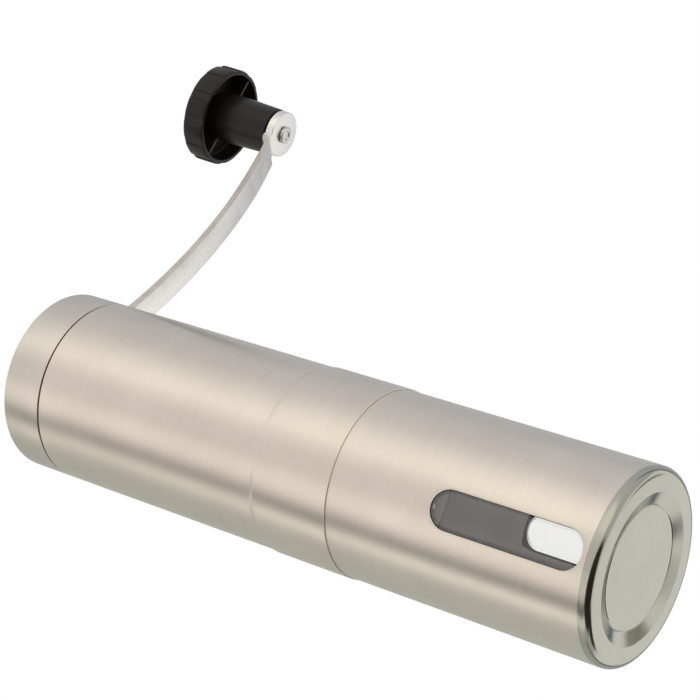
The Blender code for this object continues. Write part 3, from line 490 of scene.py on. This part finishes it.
def cup_skin():
    """The grounds cup: turned round the axis, with two opposite windows whose rims are rolled over."""
    outline, outer_rows, inner_rows = cup_outline()
    bm = bmesh.new()
    grid = [circle(bm, r, z, TURNS, WINDOW_AZIMUTH) for r, z in outline]
    centres = (0, TURNS // 2)
    open_columns = {(c + k) % TURNS for c in centres for k in range(-WINDOW_COLUMNS, WINDOW_COLUMNS)}
    for j, (near, far) in enumerate(zip(grid, grid[1:])):
        in_band = (outer_rows[0] <= j < outer_rows[-1]) or (inner_rows[0] <= j < inner_rows[-1])
        is_base = j < outer_rows[0] and outline[j][1] < CUP_CORNER
        for i in range(TURNS):
            if in_band and i in open_columns:
                continue
            face = skin(bm, near, far, i)
            if face is None:
                continue
            centre = face.calc_center_median()
            # the base's faces take the darker satin steel, a painted shade
            if is_base:
                face.material_index = BASE
            elif centre.z > WALL * MM and centre.xy.length < (CUP_R - WALL + INSIDE_REACH) * MM:
                face.material_index = INSIDE

    low_mid = WINDOW_BOTTOM + WINDOW_HALF
    high_mid = WINDOW_TOP - WINDOW_HALF
    column = math.tau * CUP_R / TURNS

    def rim_points(rows):
        """Keys (column, row) round the opening's edge in the grid."""
        keys = [(k, rows[0]) for k in range(-WINDOW_COLUMNS, WINDOW_COLUMNS)]
        keys += [(WINDOW_COLUMNS, row) for row in rows[:-1]]
        keys += [(k, rows[-1]) for k in range(WINDOW_COLUMNS, -WINDOW_COLUMNS, -1)]
        keys += [(-WINDOW_COLUMNS, row) for row in reversed(rows[1:])]
        return keys

    for centre in centres:
        azimuth = WINDOW_AZIMUTH + math.tau * centre / TURNS
        outer_keys = rim_points(outer_rows)
        inner_keys = rim_points(list(reversed(inner_rows)))
        loops = [[grid[row][(centre + k) % TURNS] for k, row in outer_keys]]

        def on_stadium(key, offset):
            """The place (round, up) on the window's outline, pushed out by offset, that a grid place goes to."""
            k, row = key
            u, z = k * column, outline[row][1]
            mid = min(max(z, low_mid), high_mid)
            away = Vector((u, z - mid)).normalized()
            return away.x * (WINDOW_HALF + offset), mid + away.y * (WINDOW_HALF + offset)

        def ring(keys, offset, radius, share=1.0):
            """A loop of vertices at a radius, share of the way from the grid to the window's outline."""
            made = []
            for key in keys:
                u, z = on_stadium(key, offset)
                u0, z0 = key[0] * column, outline[key[1]][1]
                u, z = u0 + (u - u0) * share, z0 + (z - z0) * share
                t = azimuth + u / CUP_R
                made.append(bm.verts.new((radius * math.cos(t) * MM, radius * math.sin(t) * MM, z * MM)))
            return made

        arc_steps = [math.radians(a) for a in (0, 30, 60, 90)]
        loops.append(ring(outer_keys, EDGE, CUP_R, 0.5))
        loops += [ring(outer_keys, EDGE * (1 - math.sin(a)), CUP_R - EDGE * (1 - math.cos(a))) for a in arc_steps]
        bore = CUP_R - WALL
        loops += [ring(inner_keys, EDGE * (1 - math.cos(a)), bore + EDGE * (1 - math.sin(a))) for a in arc_steps]
        loops.append(ring(inner_keys, EDGE, bore, 0.5))
        loops.append([grid[row][(centre + k) % TURNS] for k, row in inner_keys])
        rim = range(3, len(loops) - 2)
        for step, (near, far) in enumerate(zip(loops, loops[1:])):
            for i in range(len(near)):
                made = skin(bm, near, far, i)
                # the windows' cut faces take the near-black painted shade
                made.material_index = RIM if step in rim else (INSIDE if step >= rim[-1] else 0)
    return bare("cup_skin", bm)


def window_pad(azimuth):
    """A shallow raised pad on the sleeve that fills a window of the cup."""
    bm = bmesh.new()
    low_mid, high_mid = WINDOW_BOTTOM + WINDOW_HALF, WINDOW_TOP - WINDOW_HALF
    half = WINDOW_HALF - PAD_PLAY
    edge = [(math.cos(math.pi * k / PAD_TURNS), math.sin(math.pi * k / PAD_TURNS), high_mid)
            for k in range(PAD_TURNS + 1)]
    edge += [(math.cos(math.pi * k / PAD_TURNS), math.sin(math.pi * k / PAD_TURNS), low_mid)
             for k in range(PAD_TURNS, 2 * PAD_TURNS + 1)]
    rings = [(half, SLEEVE_R - PAD_SINK), (half, PAD_FACE_R - PAD_ROUND), (half - 0.05, PAD_FACE_R - 0.05),
             (half - PAD_ROUND, PAD_FACE_R), (half * 0.66, PAD_FACE_R), (half * 0.33, PAD_FACE_R)]

    def at(u, z, radius):
        t = azimuth + u / CUP_R
        return bm.verts.new((radius * math.cos(t) * MM, radius * math.sin(t) * MM, z * MM))

    loops = [[at(c * h, mid + sn * h, radius) for c, sn, mid in edge] for h, radius in rings]
    for near, far in zip(loops, loops[1:]):
        for i in range(len(near)):
            skin(bm, near, far, i)
    spine = [at(0, low_mid + (high_mid - low_mid) * k / 2, PAD_FACE_R) for k in range(3)]
    last = loops[-1]
    for i in range(len(last)):
        k = (i + 1) % len(last)
        a = spine[2] if edge[i][2] == high_mid else spine[0]
        b = spine[2] if edge[k][2] == high_mid else spine[0]
        if a is b:
            bm.faces.new((last[i], last[k], a))
        else:
            bm.faces.new((last[i], last[k], b, spine[1], a))
    mesh = bpy.data.meshes.new("pad")
    bmesh.ops.recalc_face_normals(bm, faces=bm.faces)
    outward = Vector((math.cos(azimuth), math.sin(azimuth), 0))
    bm.faces.ensure_lookup_table()
    if bm.faces[-1].normal.dot(outward) < 0:
        bmesh.ops.reverse_faces(bm, faces=bm.faces)
    bm.to_mesh(mesh)
    bm.free()
    return mesh


def sleeve_skin():
    """The clear sleeve: a plain tube with a raised pad in each window."""
    inner = SLEEVE_R - SLEEVE_WALL
    sleeve = lathe("sleeve_skin", rounded([
        (inner, SLEEVE_BOTTOM, SLEEVE_ROUND), (SLEEVE_R, SLEEVE_BOTTOM, SLEEVE_ROUND),
        (SLEEVE_R, SLEEVE_TOP, SLEEVE_ROUND), (inner, SLEEVE_TOP, SLEEVE_ROUND)], 3), TURNS)
    bm = bmesh.new()
    bm.from_mesh(sleeve.data)
    for azimuth in (WINDOW_AZIMUTH, WINDOW_AZIMUTH + math.pi):
        pad = window_pad(azimuth)
        bm.from_mesh(pad)
        bpy.data.meshes.remove(pad)
    bm.to_mesh(sleeve.data)
    bm.free()
    sleeve.data.shade_smooth()
    sleeve.data.set_sharp_from_angle(angle=SHARP)
    return sleeve


# ---- crank -------------------------------------------------------------------------------------------------
def arm_section(share):
    """The arm's outline in mm at a share of its length: it rises, thins and twists to the boss."""
    first, last = CRANK_HUB_R / 2, CRANK_REACH - ARM_INSET
    x = first + (last - first) * share
    rise = CRANK_RISE - ARM_INSET * math.tan(BOSS_DIP) - ARM_SINK
    low = CRANK_BASE + rise * (max(0.0, x - CRANK_FLAT_TO) / (last - CRANK_FLAT_TO)) ** 2
    rim = CRANK_REACH - CRANK_BOSS_R
    face = CRANK_BASE + CRANK_RISE - (CRANK_REACH - x) * math.tan(BOSS_DIP) + ARM_SINK
    low += (face - low) * ease((x - rim) / FLUSH_LENGTH + 1)
    half = (ARM_WIDTH[0] + (ARM_WIDTH[1] - ARM_WIDTH[0]) * share) / 2
    half += ROOT_FLARE * ease((x - rim) / FLARE_LENGTH + FLARE_LEAD)
    end = ARM_THICK[0] if share < 0.5 else ARM_THICK[2]
    thick = ARM_THICK[1] + (end - ARM_THICK[1]) * (2 * share - 1) ** 2
    turn = BOSS_LEAN * min(1.0, max(0.0, 1 - (rim - x) / TWIST_LENGTH))
    outline = rounded([(-half, 0, ARM_ROUND), (half, 0, ARM_ROUND), (half, thick, ARM_ROUND),
                       (-half, thick, ARM_ROUND)], 4)
    return [(x, y * math.cos(turn) - z * math.sin(turn), low + y * math.sin(turn) + z * math.cos(turn))
            for y, z in outline]


def crank_skin():
    """Arm, hub and boss in one casting, with the hexagon bore and the rivet's hole; the arm's side faces take a
    darker, warmer aluminium as painted shade.
    """
    bm = bmesh.new()
    sections = [[bm.verts.new([v * MM for v in point]) for point in arm_section(i / ARM_STEPS)]
                for i in range(ARM_STEPS + 1)]
    for near, far in zip(sections, sections[1:]):
        for i in range(len(near)):
            skin(bm, near, far, i)
    bm.faces.new(sections[0])
    bm.faces.new(sections[-1])
    arm = bare("crank_skin", bm)
    top = CRANK_BASE + CRANK_HUB_HEIGHT
    hub = lathe("hub_tool", rounded([(0, CRANK_BASE, 0), (CRANK_HUB_R, CRANK_BASE, HUB_ROUND[0]),
                                     (CRANK_HUB_R, top, HUB_ROUND[1]), (0, top, 0)], 6))
    boss = lathe("boss_tool", rounded([(0, 0, 0), (CRANK_BOSS_R, 0, BOSS_ROUND),
                                       (CRANK_BOSS_R, CRANK_BOSS_HEIGHT, BOSS_ROUND), (0, CRANK_BOSS_HEIGHT, 0)], 6),
                 ROUND, KNOB_FRAME)
    combine(arm, hub, "UNION")
    combine(arm, boss, "UNION")
    corner = HEX_FLATS / math.sqrt(3)
    hexagon = [(corner * math.cos(math.tau * i / 6), corner * math.sin(math.tau * i / 6)) for i in range(6)]
    combine(arm, prism("hex_tool", hexagon, CRANK_BASE - 1, top + 1), "DIFFERENCE")
    bore = RIVET_R + PIN_PLAY
    hole = lathe("hole_tool", [(0, -5), (bore, -5), (bore, 8), (0, 8)], 64, KNOB_FRAME)
    combine(arm, hole, "DIFFERENCE")
    # the arm's side faces take the darker aluminium, a painted shade
    for face in arm.data.polygons:
        along = face.center.x / MM
        if CRANK_HUB_R < along < CRANK_REACH - CRANK_BOSS_R and abs(face.normal.y) > EDGE_TURNED:
            face.material_index = 1
    return arm


def rivet_skin():
    """The knob's pin: a dimpled head under the boss and a spread tail in the knob's counterbore."""
    upper = COUNTER_FLOOR + RIVET_GAP
    top = -RIVET_GAP
    bottom = top - RIVET_HEAD_HEIGHT
    floor_r, mouth_r, depth = RIVET_DIMPLE
    return lathe("rivet_skin", rounded([
        (0, bottom + depth, 0), (floor_r, bottom + depth, 0.12), (mouth_r, bottom, 0.2), (RIVET_HEAD_R, bottom, 0.5),
        (RIVET_HEAD_R, top, 0.12), (RIVET_R, top, 0), (RIVET_R, upper, 0), (RIVET_TAIL_R, upper, 0.1),
        (RIVET_TAIL_R, upper + RIVET_TAIL_HEIGHT, 0.6), (0, upper + RIVET_TAIL_HEIGHT, 0)], 6), 96, KNOB_FRAME)


# ---- knob --------------------------------------------------------------------------------------------------
def knob_skin():
    """The knob in one moulding: sleeve, hollow cap, ribs across the cavity and raised grip pads round the rim."""
    low_r, high_r = KNOB_SLEEVE_R
    bore = RIVET_R + PIN_PLAY
    seat_top = CRANK_BOSS_HEIGHT + RIVET_GAP + WASHER_THICK + RIVET_GAP
    rise, fall = GRIP_FADE
    pocket_r, pocket_floor = PLATE_R + PLATE_PLAY, PLATE_BOTTOM - PLATE_PLAY
    body = lathe("knob_skin", rounded([
        (bore, seat_top, 0), (KNOB_SEAT_R, seat_top, 0), (KNOB_SEAT_R, SLEEVE_FOOT, 0.1), (low_r, SLEEVE_FOOT, 0.3),
        (high_r, KNOB_RIM, 0.12), (KNOB_NECK_R, KNOB_RIM, 0), (KNOB_NECK_R, KNOB_CAVITY_TOP, 0.3),
        (KNOB_CAVITY_R, KNOB_CAVITY_TOP, 0.4), (KNOB_CAVITY_R, KNOB_RIM, 0.3), (KNOB_CAP_R, KNOB_RIM, 0.5),
        (KNOB_CAP_R, KNOB_RIM + rise, 0), (KNOB_CAP_R, KNOB_TOP - fall, 0),
        (KNOB_CAP_R, KNOB_TOP, 1.0), (pocket_r, KNOB_TOP, 0.12), (pocket_r, pocket_floor, 0),
        (COUNTER_R, pocket_floor, 0), (COUNTER_R, COUNTER_FLOOR, 0), (bore, COUNTER_FLOOR, 0),
    ], 6), KNOB_SIDES)
    for vert in body.data.vertices:
        x, y, z = vert.co / MM
        r = math.hypot(x, y)
        if r > KNOB_CAP_R - GRIP_DEPTH and KNOB_RIM < z < KNOB_TOP:
            t = (math.degrees(math.atan2(y, x)) % (360 / GRIP_PADS)) - GRIP_START
            over = 1.0 if 0 <= t <= math.degrees(GRIP_ANGLE) else 0.0
            fade = min(1.0, (z - KNOB_RIM) / rise, (KNOB_TOP - z) / fall)
            push = GRIP_HEIGHT * over * max(0.0, fade) ** GRIP_SWELL
            vert.co.x += x / r * push * MM
            vert.co.y += y / r * push * MM
    body.data.transform(KNOB_FRAME)
    near, far, half = KNOB_NECK_R - KNOB_RIB_BITE, KNOB_CAVITY_R + KNOB_RIB_BITE, KNOB_RIB_THICK / 2
    for i in range(2):
        rib = prism("rib_tool", [(near, -half), (far, -half), (far, half), (near, half)], KNOB_RIM + KNOB_RIB_SINK,
                    KNOB_CAVITY_TOP + KNOB_RIB_BITE,
                    KNOB_FRAME @ Matrix.Rotation(KNOB_RIB_AZIMUTH + math.pi * i, 4, "Z"))
        combine(body, rib, "UNION")
    return body


def plate_skin():
    """The disc that closes the knob's top."""
    return lathe("plate_skin", rounded([(0, PLATE_BOTTOM, 0), (PLATE_R, PLATE_BOTTOM, 0), (PLATE_R, KNOB_TOP, 0.3),
                                        (0, KNOB_TOP, 0)], 5), ROUND, KNOB_FRAME)


def washer_skin():
    """The washer between boss and knob."""
    low, high = CRANK_BOSS_HEIGHT + RIVET_GAP, CRANK_BOSS_HEIGHT + RIVET_GAP + WASHER_THICK
    (bore, rim), (fine, coarse) = WASHER_R, WASHER_ROUND
    return lathe("washer_skin", rounded([(bore, low, fine), (rim, low, coarse), (rim, high, coarse),
                                         (bore, high, fine)], 3), 96, KNOB_FRAME)


# ---- pieces over the CAD frame -----------------------------------------------------------------------------
# (what makes it, body, CAD node it stands for, slot, materials by place)
PIECES = [
    (tube_shell, "housing", "hopper_tube", "tube_steel", [STEEL, LIP_PAINTED_HIGHLIGHT]),
    (cup_skin, "cup", "grounds_cup", "cup_steel", [CUP_STEEL, BASE_SATIN_SHADED, INSIDE_STEEL, RIM_PAINTED_SHADE]),
    (sleeve_skin, "cup", "window_sleeve", "clear_plastic", [CLEAR]),
    (lid_skin, "lid", "lid_shell", "lid_steel", [LID_STEEL]),
    (crank_skin, "crank", "crank_arm", "cast_aluminium", [ALUMINIUM, ARM_SIDE_PAINTED_SHADE]),
    (rivet_skin, "crank", "knob_rivet", "rivet_steel", [RIVET]),
    (washer_skin, "crank", "knob_washer", "bright_steel", [BRIGHT]),
    (knob_skin, "knob", "knob_body", "knob_plastic", [KNOB_BLACK]),
    (plate_skin, "knob", "knob_plate", "knob_plastic", [KNOB_BLACK]),
]
for make, body, node, slot, materials in PIECES:
    piece = make()
    for material in materials:
        piece.data.materials.append(material)
    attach(piece, body)
    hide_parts(node)

# the CAD nodes that show as they are
NODE_MATERIALS = {
    "lid_plug": SMOKE, "upper_bracket": SMOKE, "upper_bush": WHITE, "burr_carrier": SMOKE, "lower_bush": WHITE,
    "outer_burr": CERAMIC, "retaining_ring": SMOKE, "drive_shaft": BRIGHT, "spring_washer": BRIGHT,
    "thrust_washer": BRIGHT, "shaft_clip": SPRING, "burr_spring": SPRING, "inner_burr": CERAMIC,
    "burr_driver": WHITE, "adjuster_nut": WHITE,
}
for node, material in NODE_MATERIALS.items():
    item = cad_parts[node]
    for place in item.material_slots:
        place.link = "OBJECT"
        place.material = material

# ---- floor: seen from above only, so that the camera looks up at the mill through it ---------------------------
FLOOR_R = 3.0
FLOOR_Z = -0.0002
floor_mesh = bpy.data.meshes.new("floor")
floor_bm = bmesh.new()
bmesh.ops.create_circle(floor_bm, cap_ends=True, segments=96, radius=FLOOR_R)
for vert in floor_bm.verts:
    vert.co.z = FLOOR_Z
bmesh.ops.recalc_face_normals(floor_bm, faces=floor_bm.faces)
for face in floor_bm.faces:
    if face.normal.z < 0:
        face.normal_flip()
floor_bm.to_mesh(floor_mesh)
floor_bm.free()
floor = bpy.data.objects.new("floor", floor_mesh)
bpy.context.scene.collection.objects.link(floor)
floor_material, tree, shader = new_material("floor_pale")
paper = noise_at(tree, (1, 1, 1), 40.0, 3.0, 0.5)
tree.links.new(blend(tree, paper, (0.86, 0.86, 0.85, 1), (0.88, 0.88, 0.87, 1)), shader.inputs["Base Color"])
shader.inputs["Roughness"].default_value = 0.9
under_side = add(tree, "ShaderNodeNewGeometry").outputs["Backfacing"]
through = add(tree, "ShaderNodeBsdfTransparent")
mixed = add(tree, "ShaderNodeMixShader", None, i0=under_side, i1=shader.outputs[0], i2=through.outputs[0])
tree.links.new(mixed.outputs[0], tree.nodes["Material Output"].inputs["Surface"])
floor_mesh.materials.append(floor_material)
floor.visible_shadow = False
floor.visible_diffuse = False
floor.visible_glossy = False
floor.visible_transmission = False

# ---- studio light: a tent whose panels stand round the mill, by their direction from the camera's side ---------
# (degrees from the camera's side, brightness, tint)
PANELS = [
    (-180, 0.48, (1.00, 1.03, 0.98)),
    (-150, 0.50, (1.00, 1.03, 0.98)),
    (-120, 0.52, (1.00, 1.03, 0.98)),
    (-102, 0.53, (1.00, 1.02, 0.96)),
    (-90, 0.62, (1.00, 1.00, 0.93)),
    (-81, 1.02, (1.00, 0.99, 0.90)),
    (-74, 0.98, (1.00, 0.98, 0.90)),
    (-69, 0.42, (1.00, 0.98, 0.92)),
    (-64, 0.25, (1.00, 0.99, 0.95)),
    (-58, 0.32, (1.00, 0.99, 0.95)),
    (-52, 0.72, (1.00, 0.97, 0.92)),
    (-44, 0.96, (1.00, 0.96, 0.90)),
    (-36, 1.04, (1.00, 0.95, 0.90)),
    (-26, 0.95, (1.00, 0.95, 0.90)),
    (-14, 0.80, (1.00, 0.95, 0.92)),
    (5, 0.80, (1.00, 0.95, 0.92)),
    (18, 0.92, (1.00, 0.96, 0.92)),
    (30, 1.09, (1.00, 0.97, 0.91)),
    (42, 1.05, (1.00, 0.98, 0.91)),
    (55, 0.90, (1.00, 0.98, 0.94)),
    (66, 0.77, (1.00, 1.00, 0.98)),
    (80, 0.68, (1.00, 1.00, 1.02)),
    (105, 0.62, (1.00, 1.00, 1.05)),
    (130, 0.52, (1.00, 1.03, 1.10)),
    (150, 0.50, (1.00, 1.06, 1.12)),
    (180, 0.48, (1.00, 1.03, 0.98)),
]
world = bpy.data.worlds.new("studio")
bpy.context.scene.world = world
world.use_nodes = True
tree = world.node_tree
tree.nodes.clear()
direction = add(tree, "ShaderNodeTexCoord").outputs["Generated"]
axes = add(tree, "ShaderNodeSeparateXYZ", None, i0=direction).outputs
azimuth = maths(tree, "ARCTAN2", axes[1], axes[0])
turn = maths(tree, "FRACT", maths(tree, "ADD", maths(tree, "DIVIDE", maths(tree, "SUBTRACT", azimuth, CAMERA_SIDE),
                                                  math.tau), 1.5))
ramp = add(tree, "ShaderNodeValToRGB", None, i0=turn)
ramp.color_ramp.interpolation = "EASE"
stops = ramp.color_ramp.elements
while len(stops) > 1:
    stops.remove(stops[-1])
for i, (degrees, level, tint) in enumerate(PANELS):
    place = (degrees + 180) / 360
    stop = stops[0] if i == 0 else stops.new(place)
    stop.position = place
    stop.color = (level * tint[0], level * tint[1], level * tint[2], 1)
UNDER_LEVEL = (0.66, 0.66, 0.63, 1)
OVER_LEVEL = (0.80, 0.80, 0.79, 1)


def fall_off(value, full, none):
    """1 at full, 0 at none, smooth between them."""
    return add(tree, "ShaderNodeMapRange", {"interpolation_type": "SMOOTHSTEP"}, i0=value, i1=full, i2=none,
               i3=1.0, i4=0.0).outputs[0]


# towards straight down and straight up the ring of panels gives way to even light
colour = blend(tree, fall_off(axes[2], -0.85, -0.55), ramp.outputs[0], UNDER_LEVEL)
colour = blend(tree, fall_off(axes[2], 0.97, 0.80), colour, OVER_LEVEL)


def window_fac(value, middle, half, soft):
    """1 inside middle +- half degrees, falling to 0 over soft degrees."""
    off = maths(tree, "ABSOLUTE", maths(tree, "WRAP", maths(tree, "SUBTRACT", value, middle), -180.0, 180.0))
    return fall_off(off, half, half + soft)


around = maths(tree, "DEGREES", maths(tree, "SUBTRACT", azimuth, CAMERA_SIDE))
height = maths(tree, "DEGREES", maths(tree, "ARCSINE", axes[2]))
# (degrees round, half width, softness), (degrees up, half height, softness), level
SHEETS = [
    ((180, 42, 14), (-36, 21, 6), (1.00, 0.985, 0.96, 1)),       # pale table under the far side
    ((180, 75, 10), (-11, 2.0, 2.0), (0.10, 0.12, 0.16, 1)),     # its dark edge
    ((42, 12, 12), (-22, 28, 8), (1.15, 1.10, 1.02, 1)),         # low lamp beside the camera
    ((157, 6, 6), (-37, 7, 5), (0.36, 0.34, 0.30, 1)),           # small dark card
]
for (side, half, soft), (up, tall, fade), level in SHEETS:
    inside = maths(tree, "MULTIPLY", window_fac(around, side, half, soft), window_fac(height, up, tall, fade))
    colour = blend(tree, inside, colour, level)
# two dark gaps in the tent below the camera, round patches: degrees round, degrees up, half width, softness
GAPS = [(-62, -62, 32, 7), (-140, -46, 11, 4)]
GAP_LEVEL = (0.035, 0.028, 0.022, 1)
for side, up, half, soft in GAPS:
    side, up = CAMERA_SIDE + math.radians(side), math.radians(up)
    gap_axis = (math.cos(up) * math.cos(side), math.cos(up) * math.sin(side), math.sin(up))
    dot = add(tree, "ShaderNodeVectorMath", {"operation": "DOT_PRODUCT"}, i0=direction, i1=gap_axis).outputs["Value"]
    off_axis = maths(tree, "DEGREES", maths(tree, "ARCCOSINE", dot))
    colour = blend(tree, fall_off(off_axis, half, half + soft), colour, GAP_LEVEL)
lit = add(tree, "ShaderNodeBackground", None, Color=colour, Strength=1.0)
plain = add(tree, "ShaderNodeBackground", None, Color=(1, 1, 1, 1), Strength=1.0)
seen = add(tree, "ShaderNodeLightPath").outputs["Is Camera Ray"]
both = add(tree, "ShaderNodeMixShader", None, i0=seen, i1=lit.outputs[0], i2=plain.outputs[0])
out = add(tree, "ShaderNodeOutputWorld", None, Surface=both.outputs[0])

bpy.context.scene.view_settings.view_transform = "Standard"

# ---- camera ------------------------------------------------------------------------------------------------
camera_data = bpy.data.cameras.new("camera")
camera = bpy.data.objects.new("camera", camera_data)
bpy.context.scene.collection.objects.link(camera)
away = Vector((math.cos(CAMERA_ELEVATION) * math.cos(CAMERA_AZIMUTH),
               math.cos(CAMERA_ELEVATION) * math.sin(CAMERA_AZIMUTH), math.sin(CAMERA_ELEVATION)))
look = (-away).to_track_quat("-Z", "Y").to_matrix().to_4x4()
camera.matrix_world = (Matrix.Translation(CAMERA_TARGET + away * CAMERA_DISTANCE) @ look
                       @ Matrix.Rotation(CAMERA_ROLL, 4, "Z"))
camera_data.lens = CAMERA_LENS
camera_data.sensor_width = CAMERA_SENSOR
camera_data.clip_start, camera_data.clip_end = CAMERA_CLIP
camera_data.dof.use_dof = False
bpy.context.scene.camera = camera
